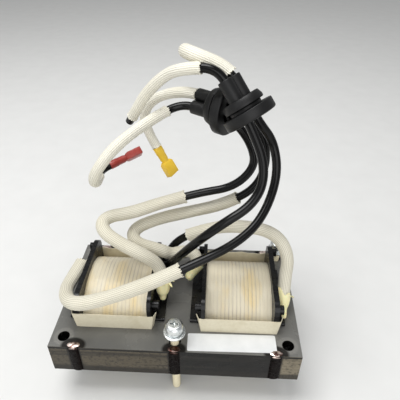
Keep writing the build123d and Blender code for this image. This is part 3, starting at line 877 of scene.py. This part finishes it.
def sleeve_mesh(name, line, start, stop, shape):
    """A thin loose tube along a lead's line, with frayed ends and a map of its surface."""
    sleeve_radius, flat_start, flat_end = shape
    reach = [0.0]
    for a, b in zip(line, line[1:]):
        reach.append(reach[-1] + (b - a).length)
    stop = min(stop, reach[-1])
    steps = round((stop - start) / sleeve_step)
    rings = []
    index = 0
    across = Vector((0, 0, 1))
    for step in range(steps + 1):
        at = start + (stop - start) * step / steps
        while index < len(reach) - 2 and reach[index + 1] < at:
            index += 1
        share = (at - reach[index]) / (reach[index + 1] - reach[index])
        point = line[index].lerp(line[index + 1], share)
        ahead = (line[min(index + 2, len(line) - 1)] - line[max(index - 1, 0)]).normalized()
        across = (across - ahead * across.dot(ahead)).normalized()
        rings.append((at, point, ahead, across, ahead.cross(across)))
    phases = [chance.uniform(0, math.tau) for _ in range(4)]
    frays = [[chance.uniform(*fray) for _ in range(facets_round)] for _ in range(2)]
    vertices, faces, lengths = [], [], []
    for number, (at, point, ahead, across, beside) in enumerate(rings):
        flat = 1 - (1 - flat_start) * max(0, 1 - (at - start) / flat_reach)
        flat -= (1 - flat_end) * max(0, 1 - (stop - at) / flat_reach)
        pleat = 0.0008 * (1 - flat_start) * max(0, 1 - (at - start) / pleat_reach)
        for k in range(facets_round):
            angle = math.tau * k / facets_round
            radius = sleeve_radius - 0.00008 + 0.00006 * math.sin(3 * angle + phases[0] + at * 120)
            radius += 0.00006 * math.sin(at * 210 + phases[1] + 2 * angle)
            radius += pleat * math.sin(13 * angle)
            shift = {0: -frays[0][k], steps: frays[1][k]}.get(number, 0)
            if number in (0, steps):
                radius += flared
            spread = across * math.cos(angle) * flat + beside * math.sin(angle) * (1.4 - 0.4 * flat)
            vertices.append(point + ahead * shift + spread * radius)
            lengths.append(at + shift)
    for ring_number in range(steps):
        for k in range(facets_round):
            a = ring_number * facets_round + k
            b = ring_number * facets_round + (k + 1) % facets_round
            faces.append((a, b, b + facets_round, a + facets_round))
    mesh = bpy.data.meshes.new(name)
    mesh.from_pydata(vertices, [], faces)
    # The map is in metres, and its last column ends at the girth
    layer = mesh.uv_layers.new(name="around_and_along")
    girth = math.tau * sleeve_radius
    for face in mesh.polygons:
        columns = {mesh.loops[i].vertex_index % facets_round for i in face.loop_indices}
        closing = {0, facets_round - 1} <= columns
        for i in face.loop_indices:
            vertex = mesh.loops[i].vertex_index
            column = vertex % facets_round
            if closing and column == 0:
                column = facets_round
            layer.data[i].uv = (girth * column / facets_round, lengths[vertex])
    return mesh


for lead, spans in sleeve_spans.items():
    for level, (start, stop) in zip(("lower", "upper"), spans):
        shape = sleeve_shapes[flattened[level] if lead == "left_outer" else level]
        mesh = sleeve_mesh(f"{level}_sleeving_{lead}", centre_lines[lead], start, stop, shape)
        sleeving = linked(mesh.name, mesh)
        activate(sleeving)
        modify(sleeving, "SOLIDIFY", thickness=sleeve_wall, offset=-1)
        smooth(60)
        fit(sleeving, knit if level == "lower" else ribbed, "sleeve_cream", f"{level}_sleeve_{lead}")

# Splice caps
# A soft cap closes the coil end of three leads, over the crimp with the coil's own wire.
# It is dip moulded, with a torn mouth and a small nipple at its tip.

# Dip-moulded vinyl: pale yellow, soft and slightly see-through
vinyl = mottled(
    "pale_yellow_vinyl", (260.0, 3.0), ("#e9dc9c", "#f4ecc2"), (0.2, 0.0003), 0.35,
    {"Subsurface Weight": 0.1, "Subsurface Scale": 0.002},
)

cap_wall = 0.0005
cap_facets = 24
# Each cap's way; its rings from mouth to tip, as their place along it and radius; and the torn
# flags of its mouth, as bearing, edges, and how far each goes outwards and on along the cap
cap_shapes = {
    "left_inner": ((0.02, -0.42, -0.9), (
        (-0.0012, 0.0048), (0.0012, 0.0046), (0.0040, 0.0042), (0.0062, 0.0036), (0.0072, 0.0024),
        (0.0084, 0.0021), (0.0102, 0.0019), (0.0106, 0.0010),
    ), (
        (-25, 3, 0.0026, 0.0016), (35, 2, 0.0022, 0.0026), (85, 3, 0.0016, 0.0006),
        (165, 4, 0.0026, 0.0022), (215, 3, 0.0018, 0.0034),
    )),
    "right_inner": ((-0.5, -0.4, -0.77), (
        (-0.0026, 0.0048), (0.0011, 0.0040), (0.0030, 0.0035), (0.0052, 0.0031), (0.0062, 0.0028),
        (0.0076, 0.0030), (0.0094, 0.0026), (0.0100, 0.0014),
    ), ((20, 4, 0.0022, -0.0012), (120, 4, 0.0018, 0.0004), (250, 3, 0.0016, 0.0014))),
    "right_outer": ((0.03, -0.78, -0.62), (
        (-0.0016, 0.0045), (0.0010, 0.0042), (0.0026, 0.0036), (0.0044, 0.0031), (0.0058, 0.0021),
        (0.0070, 0.0018), (0.0110, 0.0016), (0.0115, 0.0008),
    ), ((125, 5, 0.0016, -0.0046), (50, 3, 0.0012, -0.0012), (-10, 3, 0.0024, 0.0014))),
}
for lead, (way, rings, flags) in cap_shapes.items():
    at, size = rings[0]
    bpy.ops.mesh.primitive_circle_add(
        vertices=cap_facets, radius=size, fill_type="NOTHING", location=(0, 0, 0))
    cap = bpy.context.object
    cap.name = f"dipped_cap_{lead}"
    pick(cap, "EDGE", lambda edge: True)
    for along, radius in rings[1:]:
        draw_out(0, 0, along - at)
        bpy.ops.transform.resize(value=(radius / size, radius / size, 1))
        at, size = along, radius
    bpy.ops.mesh.edge_face_add()
    # Each flag is a stretch of the rim pulled out and down, narrower at its end
    for bearing, count, reach, on in flags:
        middle = math.radians(bearing)
        out = Vector((math.cos(middle), math.sin(middle), 0)) * reach

        def torn(edge):
            a, b = (cap.data.vertices[k].co for k in edge.vertices)
            half = (a + b) / 2
            turn = (math.atan2(half.y, half.x) - middle + math.pi) % math.tau - math.pi
            return max(a.z, b.z) < 0.00001 and abs(turn) < math.pi * count / cap_facets

        pick(cap, "EDGE", torn)
        for narrower in (0.85, 0.4):
            draw_out(out.x / 2, out.y / 2, on / 2)
            bpy.ops.transform.resize(value=(narrower, narrower, narrower))
    shake(0.00022, 7)
    face_outward()
    modify(cap, "SOLIDIFY", thickness=cap_wall, offset=-1)
    modify(cap, "SUBSURF", levels=2, render_levels=2)
    bpy.ops.object.shade_smooth()
    ahead = Vector(way).normalized()
    stand(cap, Vector(routes[lead][0]) + ahead * rings[0][0], ahead, Vector((1, 0, 0)))
    fit(cap, vinyl, "cap_yellow", f"splice_cap_{lead}")

# Terminals
# Two leads end in push-on terminals: a tin-plated receptacle in a moulded housing.
# The housing is nylon, red on one lead and yellow on the other.

barrel_radius = 0.0030
barrel_oval = (1.15, 0.9, 1)
barrel_wall = 0.0004
# A barrel's steps: round at the wire, a crimped step, then a narrow neck before the housing,
# each as its length and how much wider and thicker it gets
barrel_steps = (
    (0.0052, 1.0, 1.0), (0.0005, 0.9, 0.93), (0.0042, 1.0, 1.0), (0.0014, 0.86, 0.84),
    (0.0012, 0.96, 0.98), (0.0016, 1.3, 1.1),
)
box_size = (0.0087, 0.0049, 0.0092)
box_place = 0.0180
for lead, name, colours, slot, beside in (
    ("left_inner", "red_nylon", ("#842a23", "#a63e35"), "terminal_red", (0, 0.81, -0.58)),
    ("right_inner", "yellow_nylon", ("#ecbf30", "#f8d044"), "terminal_yellow", (0.62, 0.78, 0)),
):
    # Unfilled nylon: a strong colour, smooth and slightly waxy
    plastic = mottled(name, (220.0, 3.0), colours, (0.15, 0.0002), 0.35, {"IOR": 1.53})

    bpy.ops.mesh.primitive_circle_add(
        vertices=32, radius=barrel_radius, fill_type="NOTHING", location=(0, 0, 0))
    barrel = bpy.context.object
    pick(barrel, "EDGE", lambda edge: True)
    bpy.ops.transform.resize(value=barrel_oval)
    for step, wider, thicker in barrel_steps:
        draw_out(0, 0, step)
        bpy.ops.transform.resize(value=(wider, thicker, 1))
    leave()
    modify(barrel, "SOLIDIFY", thickness=barrel_wall, offset=-1)

    # The housing: a flat box with a narrower shoulder behind, open at the front for the tab
    bpy.ops.mesh.primitive_cube_add(size=1, location=(0, 0, box_place), scale=box_size)
    box = bpy.context.object
    bpy.ops.object.transform_apply(location=True, rotation=False, scale=True)
    for end_face, shrink, depth in ((-1, (0.66, 0.8, 1), -0.0018), (1, (0.85, 0.46, 1), -0.0076)):
        pick(box, "FACE", lambda face: face.normal.z * end_face > 0.9)
        draw_out(0, 0, 0)
        bpy.ops.transform.resize(value=shrink)
        if end_face > 0:
            draw_out(0, 0, 0)
        bpy.ops.transform.translate(value=(0, 0, depth))
    leave()
    round_edges(box, 0.0005, 3, 40)
    housing = join([barrel, box], f"moulded_housing_{lead}")
    face_outward()
    smooth(40)
    end = Vector(routes[lead][-1])
    stand(housing, end, (end - Vector(routes[lead][-2])).normalized(), Vector(beside))
    fit(housing, plastic, slot, f"terminal_housing_{lead}")

# Tin plate on brass: bright and slightly warm, with fine rolling marks
tin = mottled(
    "tin_plated_brass", (1200.0, 4.0), ("#a8a49a", "#cfccc2"), (0.2, 0.0001), 0.3, {"Metallic": 1.0},
)
dress(tin, "terminal_receptacle_left_inner", "terminal_receptacle_right_inner")

# Stage
# A plain pale floor, soft light from a large lamp overhead, one on the left and one in front,
# and the camera where the photograph was taken from.

floor_paint, tree, shader, place = new_material("pale_floor")
grain = add_node(tree, "TexNoise", {"Vector": place, "Scale": 40.0, "Detail": 2.0})
colour = add_node(tree, "Mix", {0: grain, 6: "#dcdcda", 7: "#e4e4e2"}, 2, data_type="RGBA")
feed(shader, {"Base Color": colour, "Roughness": 0.9})
bpy.ops.mesh.primitive_plane_add(size=6, location=(0, 0, 0))
floor = bpy.context.object
floor.name = "floor"
floor.data.materials.append(floor_paint)

world = bpy.data.worlds.new("soft_room")
bpy.context.scene.world = world
world.use_nodes = True
feed(world.node_tree.nodes["Background"], {0: "#f0f1f2", 1: 0.45})

aim = Vector((0, 0.02, 0.06))
for name, place, size, power in (
    ("overhead_lamp", (-0.2, 0.05, 0.95), 0.55, 6.8),
    ("side_lamp", (-0.8, -0.6, 0.6), 0.8, 1.5),
    ("front_lamp", (0.25, -0.95, 0.5), 1.0, 5.6),
):
    lamp = bpy.data.lights.new(name, "AREA")
    lamp.energy = power
    lamp.size = size
    holder = linked(name, lamp)
    holder.location = place
    holder.rotation_euler = (aim - Vector(place)).to_track_quat("-Z", "Y").to_euler()

eye = bpy.data.cameras.new("photo_camera")
eye.sensor_width = 36.0
eye.lens = 36.969
viewer = linked("photo_camera", eye)
viewer.location = (0.018937, -0.176064, 0.239902)
viewer.rotation_euler = [math.radians(angle) for angle in (54.5914, -0.4201, 2.5782)]
bpy.context.scene.camera = viewer
bpy.context.scene.view_settings.view_transform = "Standard"
